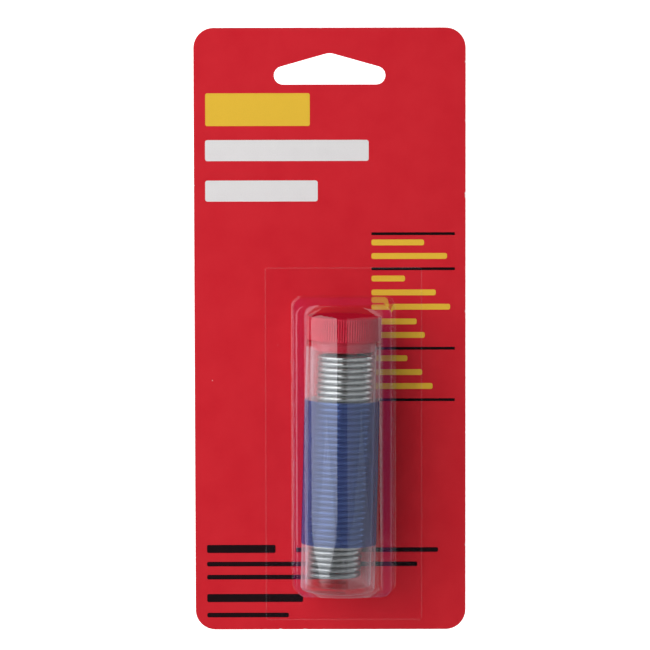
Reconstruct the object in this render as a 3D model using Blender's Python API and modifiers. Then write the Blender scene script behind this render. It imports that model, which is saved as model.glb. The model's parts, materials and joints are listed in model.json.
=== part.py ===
"""Carded dispenser tube of solder wire.

A die-cut hang card carries a clear thermoformed blister. In its pocket stands a clear tube with a
closed foot, a ribbed push-in cap and a film label band. Inside the tube is a close-wound coil of
solder wire.

Metres, +Z up. The card hangs in the XZ plane with its printed front towards -Y. The origin is the
peak of the hang hole, where a hook bears, in the middle of the card's thickness.
"""

import math

import bmesh
import bpy
import numpy as np
from mathutils import Matrix, Vector

# Running gap between pieces that rest on each other
SEAT_GAP = 0.0003

# Backing card and its hang hole
CARD_WIDTH = 0.06985
CARD_HEIGHT = 0.1556
CARD_THICKNESS = 0.0005
CARD_CORNER_RADIUS = 0.0052
HOLE_BELOW_CARD_TOP = 0.0066
HOLE_WIDTH = 0.0286
HOLE_HEIGHT = 0.0080
HOLE_END_RADIUS = 0.00235
HOLE_PEAK_RADIUS = 0.004

# Dispenser tube, which leans a little in its pocket
TUBE_DIAMETER = 0.01905
TUBE_WALL = 0.00105
TUBE_LENGTH = 0.0645
TUBE_FLOOR = 0.0016
TUBE_HEEL_RADIUS = 0.0012
TUBE_LIP_RADIUS = 0.0003
TUBE_LEAN = math.radians(1.5)
TUBE_TO_CARD = 0.0004

# Label band round the tube
LABEL_ABOVE_FOOT = 0.0124
LABEL_LENGTH = 0.0371
LABEL_THICKNESS = 0.0001
LABEL_GAP = 0.00005
LABEL_SEAM = 0.0006

# Cap: a ribbed head over a plug that enters the tube
CAP_HEAD_HEIGHT = 0.0061
CAP_CHAMFER = 0.0004
CAP_ROOF = 0.0013
CAP_PLUG_LENGTH = 0.0028
CAP_PLUG_LEAD = 0.0004
CAP_WALL = 0.0011
CAP_GROOVES = 90
CAP_GROOVE_DEPTH = 0.00025

# Coil of solder wire, which stands free in the tube from just over its floor up to the cap's plug
COIL_PLAY = 0.0010
COIL_NARROWING = 0.00295
COIL_TAIL_NARROWING = 0.00115
COIL_PITCH = 0.001486
COIL_FLOOR_GAP = 0.0015
COIL_NARROW_TURNS = 5.0
COIL_TAIL_TURNS = 0.5
COIL_WIDENING_TURNS = 1.0
COIL_TURN_GAP = 0.00042
COIL_SHIFT = 0.0002
COIL_TILT = math.radians(0.42)

# Blister: a flat flange, a deep straight-sided stage with a ledge, and a round dome over the tube
BLISTER_SHEET = 0.0003
FLANGE_MARGIN = 0.0071
FLANGE_TOP_MARGIN = 0.0075
FLANGE_ABOVE_CARD_BOTTOM = 0.0026
FLANGE_CORNER_RADIUS = 0.0006
POCKET_OFF_CENTRE = 0.00345
POCKET_CORNER_RADIUS = 0.0028
POCKET_FOOT_FILLET = 0.0004
STAGE_LEDGE = 0.0026
STAGE_FILLET = 0.0005
STAGE_SIDE_DRAFT = math.radians(3.0)
POCKET_TOP_DRAFT = math.radians(3.1)
POCKET_BOTTOM_DRAFT = math.radians(3.8)
DOME_PLAY = 0.0017
DOME_FOOT_ANGLE = math.radians(33)
DOME_END_FILLET = 0.0026
DOME_ABOVE_CAP = 0.0027

# Facets
ROUND_STEPS = 64
CORNER_STEPS = 4
FILLET_STEPS = 3
DOME_STEPS = 10
COIL_POINTS_PER_TURN = 10

# Places that follow from the sizes above
CARD_TOP = HOLE_BELOW_CARD_TOP
CARD_BOTTOM = CARD_TOP - CARD_HEIGHT
TUBE_RADIUS = TUBE_DIAMETER / 2
TUBE_BORE_RADIUS = TUBE_RADIUS - TUBE_WALL
LABEL_RADIUS = TUBE_RADIUS + LABEL_GAP + LABEL_THICKNESS
DOME_RADIUS = TUBE_RADIUS + DOME_PLAY + BLISTER_SHEET
DOME_FOOT_HALF_WIDTH = DOME_RADIUS * math.cos(DOME_FOOT_ANGLE)
HINGE_Y = -(CARD_THICKNESS / 2 + SEAT_GAP)
FLANGE_FRONT_Y = HINGE_Y - BLISTER_SHEET
FLANGE_BOTTOM = CARD_BOTTOM + FLANGE_ABOVE_CARD_BOTTOM
POCKET_BOTTOM = FLANGE_BOTTOM + FLANGE_MARGIN
TUBE_AXIS_Y = -(CARD_THICKNESS / 2 + TUBE_TO_CARD + LABEL_RADIUS)
AXIS_DEPTH = FLANGE_FRONT_Y - TUBE_AXIS_Y
DOME_DEPTH = AXIS_DEPTH + DOME_RADIUS
FOOT_FLAT_DEPTH = AXIS_DEPTH + TUBE_RADIUS - TUBE_HEEL_RADIUS
TUBE_FOOT_X = POCKET_OFF_CENTRE - (DOME_PLAY - SEAT_GAP) / math.cos(DOME_FOOT_ANGLE)
TUBE_FOOT_Z = POCKET_BOTTOM + FOOT_FLAT_DEPTH * math.tan(POCKET_BOTTOM_DRAFT) + BLISTER_SHEET + SEAT_GAP
CAP_TOP = TUBE_FOOT_Z + (TUBE_LENGTH + SEAT_GAP + CAP_HEAD_HEIGHT) * math.cos(TUBE_LEAN)
DOME_TOP = CAP_TOP + DOME_ABOVE_CAP + BLISTER_SHEET
POCKET_TOP = DOME_TOP + DOME_DEPTH * math.tan(POCKET_TOP_DRAFT)
STAGE_HEIGHT = AXIS_DEPTH + DOME_RADIUS * math.sin(DOME_FOOT_ANGLE)
STAGE_HALF_WIDTH = DOME_FOOT_HALF_WIDTH + STAGE_LEDGE
POCKET_HALF_WIDTH = STAGE_HALF_WIDTH + STAGE_HEIGHT * math.tan(STAGE_SIDE_DRAFT)
CAP_PLUG_RADIUS = TUBE_BORE_RADIUS - SEAT_GAP
COIL_DIAMETER = 2 * (TUBE_BORE_RADIUS - COIL_PLAY)
COIL_TOP = TUBE_LENGTH - CAP_PLUG_LENGTH
COIL_BOTTOM = TUBE_FLOOR + COIL_FLOOR_GAP
COIL_TURNS = (COIL_TOP - COIL_BOTTOM) / COIL_PITCH - 1
WIRE_DIAMETER = COIL_PITCH - COIL_TURN_GAP


def arc(centre, radius, start, stop, steps):
    """Points along an arc, with angles in degrees from +X."""
    points = []
    for step in range(steps + 1):
        angle = math.radians(start + (stop - start) * step / steps)
        points.append((centre[0] + radius * math.cos(angle), centre[1] + radius * math.sin(angle)))
    return points


def rounded_rectangle(half_width, half_height, centre_height, radius, steps):
    """A closed outline that starts on the right side and runs counter-clockwise."""
    x = half_width - radius
    z = half_height - radius
    points = []
    for side_x, side_z, start in ((x, z, 0), (-x, z, 90), (-x, -z, 180), (x, -z, 270)):
        points += arc((side_x, centre_height + side_z), radius, start, start + 90, steps)
    return points


def hang_hole_outline():
    """A shallow roof over two round ends and a flat sill. The roof lines touch both arcs."""
    end_x = HOLE_WIDTH / 2 - HOLE_END_RADIUS
    end_z = -HOLE_HEIGHT + HOLE_END_RADIUS
    peak_z = -HOLE_PEAK_RADIUS
    between = math.hypot(end_x, end_z - peak_z)
    fall = math.atan2(end_z - peak_z, end_x)
    normal = math.degrees(fall + math.acos((HOLE_PEAK_RADIUS - HOLE_END_RADIUS) / between))
    right_end = arc((end_x, end_z), HOLE_END_RADIUS, -90, normal, 3 * CORNER_STEPS)
    peak = arc((0, peak_z), HOLE_PEAK_RADIUS, normal, 180 - normal, CORNER_STEPS)
    left_end = arc((-end_x, end_z), HOLE_END_RADIUS, 180 - normal, 270, 3 * CORNER_STEPS)
    return right_end + peak + left_end


def make_material(name, colour, roughness, metallic=0.0, transmission=0.0):
    material = bpy.data.materials.new(name)
    material.use_nodes = True
    shader = material.node_tree.nodes["Principled BSDF"]
    shader.inputs["Base Color"].default_value = (*colour, 1.0)
    shader.inputs["Roughness"].default_value = roughness
    shader.inputs["Metallic"].default_value = metallic
    shader.inputs["Transmission Weight"].default_value = transmission
    return material


def add_object(name, data, collection, material=None, parent=None):
    obj = bpy.data.objects.new(name, data)
    collection.objects.link(obj)
    obj.parent = parent
    if material is not None:
        data.materials.append(material)
    return obj


def add_axis(name, collection, location, lean, parent=None):
    """An empty whose Z is the axis that its children turn about or slide along."""
    axis = add_object(name, None, collection, parent=parent)
    axis.location = location
    axis.rotation_euler = (0, lean, 0)
    return axis


def smooth_shade(mesh, sharp_degrees=35):
    mesh.shade_smooth()
    mesh.set_sharp_from_angle(angle=math.radians(sharp_degrees))


def turned_mesh(name, profile):
    """The open profile, as (radius, height) points, for a Screw modifier to turn."""
    mesh = bpy.data.meshes.new(name)
    points = [(radius, 0, height) for radius, height in profile]
    edges = [(index, index + 1) for index in range(len(points) - 1)]
    mesh.from_pydata(points, edges, [])
    return mesh


def add_turn(obj):
    screw = obj.modifiers.new("Turn", "SCREW")
    screw.axis = "Z"
    screw.angle = math.tau
    screw.steps = ROUND_STEPS
    screw.render_steps = ROUND_STEPS
    screw.use_merge_vertices = True
    screw.merge_threshold = 0.000001
    screw.use_smooth_shade = True
    return screw


def make_card(collection, material):
    """Paperboard with round corners and a hang hole, cut from one flat outline."""
    curve = bpy.data.curves.new("backing_card", "CURVE")
    curve.dimensions = "2D"
    curve.fill_mode = "BOTH"
    curve.extrude = CARD_THICKNESS / 2
    centre = (CARD_TOP + CARD_BOTTOM) / 2
    board = rounded_rectangle(CARD_WIDTH / 2, CARD_HEIGHT / 2, centre, CARD_CORNER_RADIUS, 2 * CORNER_STEPS)
    for outline in (board, hang_hole_outline()):
        spline = curve.splines.new("POLY")
        spline.points.add(len(outline) - 1)
        for point, (x, z) in zip(spline.points, outline):
            point.co = (x, z, 0, 1)
        spline.use_cyclic_u = True
    card = add_object("backing_card", curve, collection, material)
    card.rotation_euler = (math.radians(90), 0, 0)
    return card


def pocket_ends(depth, flare=0.0):
    """(middle, half length) of the pocket over the flange's bottom. Each end wall has its own draft."""
    low = POCKET_BOTTOM - FLANGE_BOTTOM + depth * math.tan(POCKET_BOTTOM_DRAFT) - flare
    high = POCKET_TOP - FLANGE_BOTTOM - depth * math.tan(POCKET_TOP_DRAFT) + flare
    return (high + low) / 2, (high - low) / 2


def stage_levels():
    """(depth, half width, flare, corner radius) from the flange up to the foot of the dome."""
    levels = []
    for step in range(FILLET_STEPS + 1):
        angle = math.radians(90 * step / FILLET_STEPS)
        depth = POCKET_FOOT_FILLET * (1 - math.cos(angle))
        flare = POCKET_FOOT_FILLET * (1 - math.sin(angle))
        width = POCKET_HALF_WIDTH - depth * math.tan(STAGE_SIDE_DRAFT) + flare
        levels.append((depth, width, flare, POCKET_CORNER_RADIUS + flare))
    fillet = min(STAGE_FILLET, 0.45 * STAGE_LEDGE)
    ledge_depth = STAGE_HEIGHT - fillet * (1 - math.sin(DOME_FOOT_ANGLE))
    for step in range(FILLET_STEPS + 1):
        angle = math.radians(90 * step / FILLET_STEPS)
        depth = ledge_depth - fillet * (1 - math.sin(angle))
        inset = depth * math.tan(STAGE_SIDE_DRAFT) + fillet * (1 - math.cos(angle))
        levels.append((depth, POCKET_HALF_WIDTH - inset, 0, POCKET_CORNER_RADIUS))
    upright = math.radians(90) - DOME_FOOT_ANGLE
    for step in range(FILLET_STEPS + 1):
        angle = upright * step / FILLET_STEPS
        depth = STAGE_HEIGHT - fillet * (math.cos(angle) - math.cos(upright))
        width = DOME_FOOT_HALF_WIDTH + fillet * (math.sin(upright) - math.sin(angle))
        levels.append((depth, width, 0, DOME_END_FILLET))
    return levels


def dome_outline(height, middle, half_length):
    """The dome's closed outline at a height over its axis, with its end edges rounded."""
    inner = DOME_RADIUS - DOME_END_FILLET
    lowest = math.asin(min(1.0, max(0.0, (height - inner) / DOME_END_FILLET)))
    corner = []
    for step in range(CORNER_STEPS + 1):
        angle = math.radians(90) + (lowest - math.radians(90)) * step / CORNER_STEPS
        reach = inner + DOME_END_FILLET * math.sin(angle)
        x = math.sqrt(max(0.0, reach * reach - height * height))
        corner.append((x, half_length - DOME_END_FILLET * (1 - math.cos(angle))))
    right_top = corner
    left_top = [(-x, z) for x, z in reversed(corner)]
    left_bottom = [(-x, -z) for x, z in corner]
    right_bottom = [(x, -z) for x, z in reversed(corner)]
    return [(x, middle + z) for x, z in right_top + left_top + left_bottom + right_bottom]


def blister_outlines():
    """Each level of the formed sheet as (depth, outline), from the flange's edge to the dome's crown."""
    half_height = (POCKET_TOP + FLANGE_TOP_MARGIN - FLANGE_BOTTOM) / 2
    half_width = POCKET_HALF_WIDTH + FLANGE_MARGIN
    flange = rounded_rectangle(half_width, half_height, half_height, FLANGE_CORNER_RADIUS, CORNER_STEPS)
    outlines = [(0, flange)]
    for depth, half_width, flare, radius in stage_levels():
        middle, half_length = pocket_ends(depth, flare)
        outline = rounded_rectangle(half_width, half_length, middle, radius, CORNER_STEPS)
        outlines.append((depth, outline))
    for step in range(1, DOME_STEPS + 1):
        angle = DOME_FOOT_ANGLE + (math.radians(90) - DOME_FOOT_ANGLE) * step / DOME_STEPS
        height = DOME_RADIUS * math.sin(angle)
        depth = AXIS_DEPTH + height
        outlines.append((depth, dome_outline(height, *pocket_ends(depth))))
    return outlines


def make_blister(collection, material):
    """The loft has no tool of its own in Blender: its sections change from oblong to a narrow crown."""
    form = bmesh.new()
    rings = []
    for depth, outline in blister_outlines():
        rings.append([form.verts.new((x, -BLISTER_SHEET - depth, z)) for x, z in outline])
    count = len(rings[0])
    for lower, upper in zip(rings, rings[1:]):
        for index in range(count):
            after = (index + 1) % count
            form.faces.new((lower[index], lower[after], upper[after], upper[index]))
    form.faces.new(rings[-1])
    bmesh.ops.remove_doubles(form, verts=form.verts, dist=0.000001)
    mesh = bpy.data.meshes.new("blister")
    form.to_mesh(mesh)
    form.free()
    smooth_shade(mesh)
    blister = add_object("blister", mesh, collection, material)
    blister.location = (POCKET_OFF_CENTRE, HINGE_Y, FLANGE_BOTTOM)
    sheet = blister.modifiers.new("Sheet", "SOLIDIFY")
    sheet.thickness = BLISTER_SHEET
    sheet.offset = -1
    sheet.use_even_offset = False
    return blister


def make_tube(collection, material, axis):
    """A vial turned from one profile: up the bore, over the lip and down the outside."""
    heel = TUBE_HEEL_RADIUS
    inner_heel = heel / 2
    lip = TUBE_LIP_RADIUS
    profile = [(0, TUBE_FLOOR)]
    profile += arc((TUBE_BORE_RADIUS - inner_heel, TUBE_FLOOR + inner_heel), inner_heel, -90, 0, FILLET_STEPS)
    profile += arc((TUBE_BORE_RADIUS + lip, TUBE_LENGTH - lip), lip, 180, 90, FILLET_STEPS)
    profile += arc((TUBE_RADIUS - lip, TUBE_LENGTH - lip), lip, 90, 0, FILLET_STEPS)
    profile += arc((TUBE_RADIUS - heel, heel), heel, 0, -90, FILLET_STEPS + 1)
    profile.append((0, 0))
    tube = add_object("dispenser_tube", turned_mesh("dispenser_tube", profile), collection, material, axis)
    add_turn(tube)
    return tube


def make_label(collection, material, axis):
    """Film wrapped round the tube, with its two edges nearly meeting at the back."""
    radius = TUBE_RADIUS + LABEL_GAP
    half_seam = LABEL_SEAM / 2 / radius
    start = math.radians(90) + half_seam
    sweep = math.tau - 2 * half_seam
    film = bmesh.new()
    columns = []
    for step in range(ROUND_STEPS + 1):
        angle = start + sweep * step / ROUND_STEPS
        x = radius * math.cos(angle)
        y = radius * math.sin(angle)
        low = film.verts.new((x, y, LABEL_ABOVE_FOOT))
        high = film.verts.new((x, y, LABEL_ABOVE_FOOT + LABEL_LENGTH))
        columns.append((low, high))
    for (low, high), (next_low, next_high) in zip(columns, columns[1:]):
        film.faces.new((low, next_low, next_high, high))
    mesh = bpy.data.meshes.new("label_band")
    film.to_mesh(mesh)
    film.free()
    smooth_shade(mesh)
    label = add_object("label_band", mesh, collection, material, axis)
    sheet = label.modifiers.new("Film", "SOLIDIFY")
    sheet.thickness = LABEL_THICKNESS
    sheet.offset = 1
    return label


def make_groove_cutter(collection, axis):
    """Three-sided bars stood round the cap's head, each with an edge towards the axis."""
    bar_radius = 1.3 * CAP_GROOVE_DEPTH
    bar_length = CAP_HEAD_HEIGHT + 4 * CAP_CHAMFER
    bars = bmesh.new()
    for groove in range(CAP_GROOVES):
        turn = Matrix.Rotation(math.tau * groove / CAP_GROOVES, 4, "Z")
        reach = TUBE_RADIUS - CAP_GROOVE_DEPTH + bar_radius
        place = Matrix.Translation((reach, 0, CAP_HEAD_HEIGHT / 2))
        inward = Matrix.Rotation(math.pi, 4, "Z")
        bmesh.ops.create_cone(
            bars,
            cap_ends=True,
            segments=3,
            radius1=bar_radius,
            radius2=bar_radius,
            depth=bar_length,
            matrix=turn @ place @ inward @ Matrix.Rotation(math.radians(-30), 4, "Z"),
        )
    mesh = bpy.data.meshes.new("groove_cutter")
    bars.to_mesh(mesh)
    bars.free()
    cutter = add_object("groove_cutter", mesh, collection, parent=axis)
    cutter.hide_render = True
    cutter.display_type = "WIRE"
    return cutter


def make_cap(collection, cutters, material, axis):
    """A turned cap: head, plug and the hollow under its roof. Grooves leave ribs round the head."""
    seat = add_axis("cap_slide", collection, (0, 0, TUBE_LENGTH + SEAT_GAP), 0, axis)
    hollow = CAP_PLUG_RADIUS - CAP_WALL
    profile = [
        (0, CAP_HEAD_HEIGHT),
        (TUBE_RADIUS - CAP_CHAMFER, CAP_HEAD_HEIGHT),
        (TUBE_RADIUS, CAP_HEAD_HEIGHT - CAP_CHAMFER),
        (TUBE_RADIUS, 0),
        (CAP_PLUG_RADIUS, 0),
        (CAP_PLUG_RADIUS, CAP_PLUG_LEAD - CAP_PLUG_LENGTH),
        (CAP_PLUG_RADIUS - CAP_PLUG_LEAD, -CAP_PLUG_LENGTH),
        (hollow, -CAP_PLUG_LENGTH),
        (hollow, CAP_HEAD_HEIGHT - CAP_ROOF),
        (0, CAP_HEAD_HEIGHT - CAP_ROOF),
    ]
    cap = add_object("cap", turned_mesh("cap", profile), collection, material, seat)
    add_turn(cap)
    grooves = cap.modifiers.new("Grooves", "BOOLEAN")
    grooves.operation = "DIFFERENCE"
    grooves.solver = "EXACT"
    grooves.object = make_groove_cutter(cutters, seat)
    return cap


def ease(value):
    """Rises smoothly from 0 to 1 as the value does."""
    value = min(1.0, max(0.0, value))
    return value * value * (3 - 2 * value)


def coil_outer_radius(turn):
    """The lowest turns are wound tighter, and the cut tail springs out again."""
    widened = ease((turn - COIL_NARROW_TURNS) / COIL_WIDENING_TURNS)
    tail = 1 - ease(turn / COIL_TAIL_TURNS)
    narrowing = (1 - widened) * COIL_NARROWING
    narrowing -= tail * (COIL_NARROWING - COIL_TAIL_NARROWING)
    return (COIL_DIAMETER - narrowing) / 2


def coil_point(turn):
    """Every turn keeps its left side in line, so a tighter turn lies off the coil's axis."""
    outer = coil_outer_radius(turn)
    radius = outer - WIRE_DIAMETER / 2
    angle = math.tau * turn
    x = outer - COIL_DIAMETER / 2 + radius * math.cos(angle)
    return Vector((x, radius * math.sin(angle), COIL_PITCH * turn))


def coil_route():
    """The helix, with each cut end run out straight for one wire diameter."""
    count = round(COIL_TURNS * COIL_POINTS_PER_TURN)
    route = [coil_point(index / COIL_POINTS_PER_TURN) for index in range(count + 1)]
    tail_way = (route[0] - route[1]).normalized()
    head_way = (route[-1] - route[-2]).normalized()
    return [route[0] + WIRE_DIAMETER * tail_way, *route, route[-1] + WIRE_DIAMETER * head_way]


def least_gap(route):
    """The least clear space between the wire and itself, half a turn or more along it."""
    points = np.array(route)
    apart = np.linalg.norm(points[:, None] - points[None, :], axis=2)
    index = np.arange(len(points))
    along = np.abs(index[:, None] - index[None, :])
    return apart[along > COIL_POINTS_PER_TURN // 2].min() - WIRE_DIAMETER


def make_coil(collection, material, axis):
    place = (COIL_SHIFT, 0, COIL_BOTTOM + COIL_PITCH / 2)
    winding = add_axis("coil_slide", collection, place, COIL_TILT, axis)
    curve = bpy.data.curves.new("solder_coil", "CURVE")
    curve.dimensions = "3D"
    curve.bevel_depth = WIRE_DIAMETER / 2
    curve.bevel_resolution = 1
    curve.use_fill_caps = True
    route = coil_route()
    spline = curve.splines.new("POLY")
    spline.points.add(len(route) - 1)
    for point, position in zip(spline.points, route):
        point.co = (*position, 1)
    print(f"solder_coil: {COIL_TURNS:.1f} turns, least gap to itself {least_gap(route) * 1000:.3f} mm")
    return add_object("solder_coil", curve, collection, material, winding)


def main():
    for obj in list(bpy.data.objects):
        bpy.data.objects.remove(obj)
    parts = bpy.data.collections.new("carded_solder_tube")
    cutters = bpy.data.collections.new("cutters")
    for collection in (parts, cutters):
        bpy.context.scene.collection.children.link(collection)
    tube_axis = add_axis("tube_axis", parts, (TUBE_FOOT_X, TUBE_AXIS_Y, TUBE_FOOT_Z), TUBE_LEAN)
    make_card(parts, make_material("printed_board", (0.60, 0.03, 0.04), 0.35))
    make_blister(parts, make_material("clear_sheet", (0.95, 0.95, 0.95), 0.05, transmission=1.0))
    make_tube(parts, make_material("clear_tube", (0.9, 0.9, 0.9), 0.08, transmission=1.0), tube_axis)
    make_label(parts, make_material("blue_film", (0.08, 0.13, 0.45), 0.25, transmission=0.5), tube_axis)
    make_cap(parts, cutters, make_material("red_cap", (0.55, 0.01, 0.04), 0.3), tube_axis)
    make_coil(parts, make_material("solder", (0.62, 0.62, 0.60), 0.25, metallic=1.0), tube_axis)
    print(f"tube foot {TUBE_FOOT_X:.6f} {TUBE_AXIS_Y:.6f} {TUBE_FOOT_Z:.6f}")
    print(f"blister hinge {POCKET_OFF_CENTRE:.6f} {HINGE_Y:.6f} {FLANGE_BOTTOM:.6f}")
    print(f"pocket {POCKET_BOTTOM:.6f} to {POCKET_TOP:.6f}, half width {POCKET_HALF_WIDTH:.6f}")


main()
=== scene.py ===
# %% [markdown]
# # A carded tube of solder wire
# The real thing is a red hang card with a clear formed blister. A clear tube stands in the blister,
# and a close-wound coil of solder wire fills it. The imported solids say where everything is. This
# script dresses the card's solid, and replaces the other five by finer pieces in the same places.

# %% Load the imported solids
import json
import math

import bmesh
import bpy
from mathutils import Matrix, Vector


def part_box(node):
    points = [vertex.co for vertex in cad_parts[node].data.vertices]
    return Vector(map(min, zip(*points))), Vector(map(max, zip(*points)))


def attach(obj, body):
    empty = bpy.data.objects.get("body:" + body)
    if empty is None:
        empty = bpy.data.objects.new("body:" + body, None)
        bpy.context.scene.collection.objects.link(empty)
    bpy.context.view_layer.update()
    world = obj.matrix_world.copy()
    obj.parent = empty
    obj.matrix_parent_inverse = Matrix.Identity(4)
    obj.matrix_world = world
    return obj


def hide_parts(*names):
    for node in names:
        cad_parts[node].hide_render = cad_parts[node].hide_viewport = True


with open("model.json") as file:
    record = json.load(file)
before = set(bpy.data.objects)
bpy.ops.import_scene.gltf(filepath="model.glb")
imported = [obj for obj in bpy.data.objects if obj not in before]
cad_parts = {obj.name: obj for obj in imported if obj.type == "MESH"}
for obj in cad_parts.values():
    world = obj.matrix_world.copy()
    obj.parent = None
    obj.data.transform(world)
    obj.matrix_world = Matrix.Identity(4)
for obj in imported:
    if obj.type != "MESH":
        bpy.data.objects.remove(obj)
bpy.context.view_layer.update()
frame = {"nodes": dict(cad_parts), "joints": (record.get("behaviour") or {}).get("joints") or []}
MM = 0.001
joints = {joint["name"]: joint for joint in frame["joints"]}
print("nodes:", sorted(frame["nodes"]))

# %% [markdown]
# ## The camera
# A catalogue photograph is taken from far off with a long lens, so the card's sides stay nearly
# parallel. The place was solved from the card's corners and the blister's edges: 1.3 m away and 5.3
# degrees above the card's middle. The camera's three axes are built as vectors, because that also
# takes the picture's small roll without any constraint.

# %% Place the camera
CAMERA_DISTANCE = 1.3
CAMERA_ELEVATION = math.radians(5.3)
CAMERA_ROLL = -0.00201
CAMERA_LENS = 279.7
CAMERA_AIM = Vector((-1.30 * MM, 0, -69.9 * MM))


def camera_matrix(aim, distance, elevation, roll):
    """A camera that looks along +Y and down onto aim, turned by roll about its line of sight."""
    back = Vector((0, -math.cos(elevation), math.sin(elevation)))
    right = Vector((1, 0, 0))
    up = back.cross(right)
    across = right * math.cos(roll) + up * math.sin(roll)
    upward = up * math.cos(roll) - right * math.sin(roll)
    matrix = Matrix((across, upward, back)).transposed().to_4x4()
    matrix.translation = aim + back * distance
    return matrix


camera_data = bpy.data.cameras.new("camera")
camera_data.sensor_width = 36
camera_data.lens = CAMERA_LENS
camera = bpy.data.objects.new("camera", camera_data)
bpy.context.scene.collection.objects.link(camera)
camera.matrix_world = camera_matrix(CAMERA_AIM, CAMERA_DISTANCE, CAMERA_ELEVATION, CAMERA_ROLL)
bpy.context.scene.camera = camera
print("camera at", [round(value, 4) for value in camera.matrix_world.translation])

# %% [markdown]
# ## Two soft lights and a white ground
# The bands that run down the blister are reflections of the studio: a large bright softbox on the
# left, a weak pale one on the right, and a dark gap between them where the camera stands. Area
# lights give exactly that, because a glossy surface sees their rectangles. Their angles come from
# where the bands lie on the round front. The right one is only a reflection: the deep shadow beside
# the pocket shows that hardly any light comes from that side.

# %% Set the lights
LEFT_LIGHT_FROM_TO = (-17, -91)
RIGHT_LIGHT_FROM_TO = (9, 100)
LEFT_LIGHT_DISTANCE = 0.8
RIGHT_LIGHT_DISTANCE = 0.7
LEFT_LIGHT_HEIGHT = 1.36
RIGHT_LIGHT_HEIGHT = 1.1
LEFT_LIGHT_LIFT = 0.52
RIGHT_LIGHT_LIFT = 0.0
LEFT_LIGHT_RADIANCE = 2.60
RIGHT_LIGHT_RADIANCE = 0.60
LEFT_LIGHT_TINT = (0.98, 0.98, 1.0)
RIGHT_LIGHT_TINT = (0.95, 0.98, 1.0)
OBJECT_MIDDLE = Vector((3.5 * MM, -10 * MM, -90 * MM))


def add_softbox(name, angles, distance, height, lift, radiance, tint):
    """A lit rectangle that spans two azimuths in degrees, counted from the camera's side."""
    middle = math.radians(sum(angles) / 2)
    half_angle = math.radians(abs(angles[1] - angles[0]) / 2)
    width = 2 * distance * math.tan(half_angle)
    light = bpy.data.lights.new(name, "AREA")
    light.shape = "RECTANGLE"
    light.size = width
    light.size_y = height
    light.energy = radiance * math.pi * width * height
    light.color = tint
    lamp = bpy.data.objects.new(name, light)
    bpy.context.scene.collection.objects.link(lamp)
    away = Vector((math.sin(middle), -math.cos(middle), 0))
    lamp.location = OBJECT_MIDDLE + away * distance + Vector((0, 0, lift))
    lamp.rotation_euler = away.to_track_quat("Z", "Y").to_euler()
    print(f"{name}: {width:.2f} x {height:.2f} m, {light.energy:.1f} W")
    return lamp


add_softbox("left_softbox", LEFT_LIGHT_FROM_TO, LEFT_LIGHT_DISTANCE, LEFT_LIGHT_HEIGHT,
            LEFT_LIGHT_LIFT, LEFT_LIGHT_RADIANCE, LEFT_LIGHT_TINT)
right_lamp = add_softbox("right_softbox", RIGHT_LIGHT_FROM_TO, RIGHT_LIGHT_DISTANCE,
                         RIGHT_LIGHT_HEIGHT, RIGHT_LIGHT_LIFT, RIGHT_LIGHT_RADIANCE,
                         RIGHT_LIGHT_TINT)
right_lamp.visible_diffuse = False

# %% [markdown]
# ## A white room that hardly lights the object
# The ground of a catalogue picture is pure white, but the object isn't lit from everywhere. More
# lamps could make it white, and would wash out the shadow. Blender's world can tell rays apart
# instead: rays from the camera see it white, rays from matt surfaces see a dim fill, and mirrors
# see it darker still.

# %% Light the room dimly and show it white to the camera
WORLD_FILL = 0.17
WORLD_IN_GLOSS = 0.06


def add_node(tree, kind, inputs=(), **settings):
    """Adds a node, sets its choices, and fills its inputs with values or other nodes' outputs."""
    node = tree.nodes.new(kind)
    for name, value in settings.items():
        setattr(node, name, value)
    for key, value in dict(inputs).items():
        if isinstance(value, bpy.types.NodeSocket):
            tree.links.new(value, node.inputs[key])
        else:
            node.inputs[key].default_value = value
    return node


def maths(tree, operation, first, second=0.0, third=0.0):
    """The result of one sum, such as ADD or MULTIPLY, on values or other nodes' outputs."""
    return add_node(tree, "ShaderNodeMath", {0: first, 1: second, 2: third},
                    operation=operation).outputs[0]


def mix_shaders(tree, share, first, second):
    """The first shader, with a share of the second over it."""
    node = add_node(tree, "ShaderNodeMixShader", {0: share, 1: first, 2: second})
    return node.outputs["Shader"]


def finish_surface(tree, shader_output):
    """Makes a shader the one that the material shows."""
    tree.links.new(shader_output, tree.nodes["Material Output"].inputs["Surface"])


world = bpy.data.worlds.new("studio")
world.use_nodes = True
bpy.context.scene.world = world
tree = world.node_tree
path = add_node(tree, "ShaderNodeLightPath").outputs
seen = maths(tree, "MAXIMUM", path["Is Camera Ray"], path["Is Transmission Ray"])
fill = maths(tree, "MULTIPLY_ADD", path["Is Glossy Ray"], WORLD_IN_GLOSS - WORLD_FILL, WORLD_FILL)
strength = maths(tree, "MAXIMUM", seen, fill)
tree.links.new(strength, tree.nodes["Background"].inputs["Strength"])
tree.nodes["Background"].inputs["Color"].default_value = (1, 1, 1, 1)
bpy.context.scene.view_settings.view_transform = "Standard"
print("room fill", WORLD_FILL, "and in mirrors", WORLD_IN_GLOSS)

# %% [markdown]
# ## A floor and a backdrop of pale paper
# One large sheet lies under the object and one stands behind it. They could be plain white planes,
# but then their look in the picture and in the blister's highlights would hang together. So each
# paper glows by one amount for rays that look at it, and by another for rays from a mirror.

# %% Add the floor and the backdrop
FLOOR_HEIGHT = -0.40
FLOOR_REACH = 2
FLOOR_GLOW = 0.45
FLOOR_IN_MIRRORS = 0.06
BACKDROP_BEHIND = 0.60
BACKDROP_REACH = 5
BACKDROP_TOP = 2
BACKDROP_GLOW = 0.85
BACKDROP_IN_MIRRORS = 1.3
PAPER_GREY = (0.86, 0.86, 0.86, 1)


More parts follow.
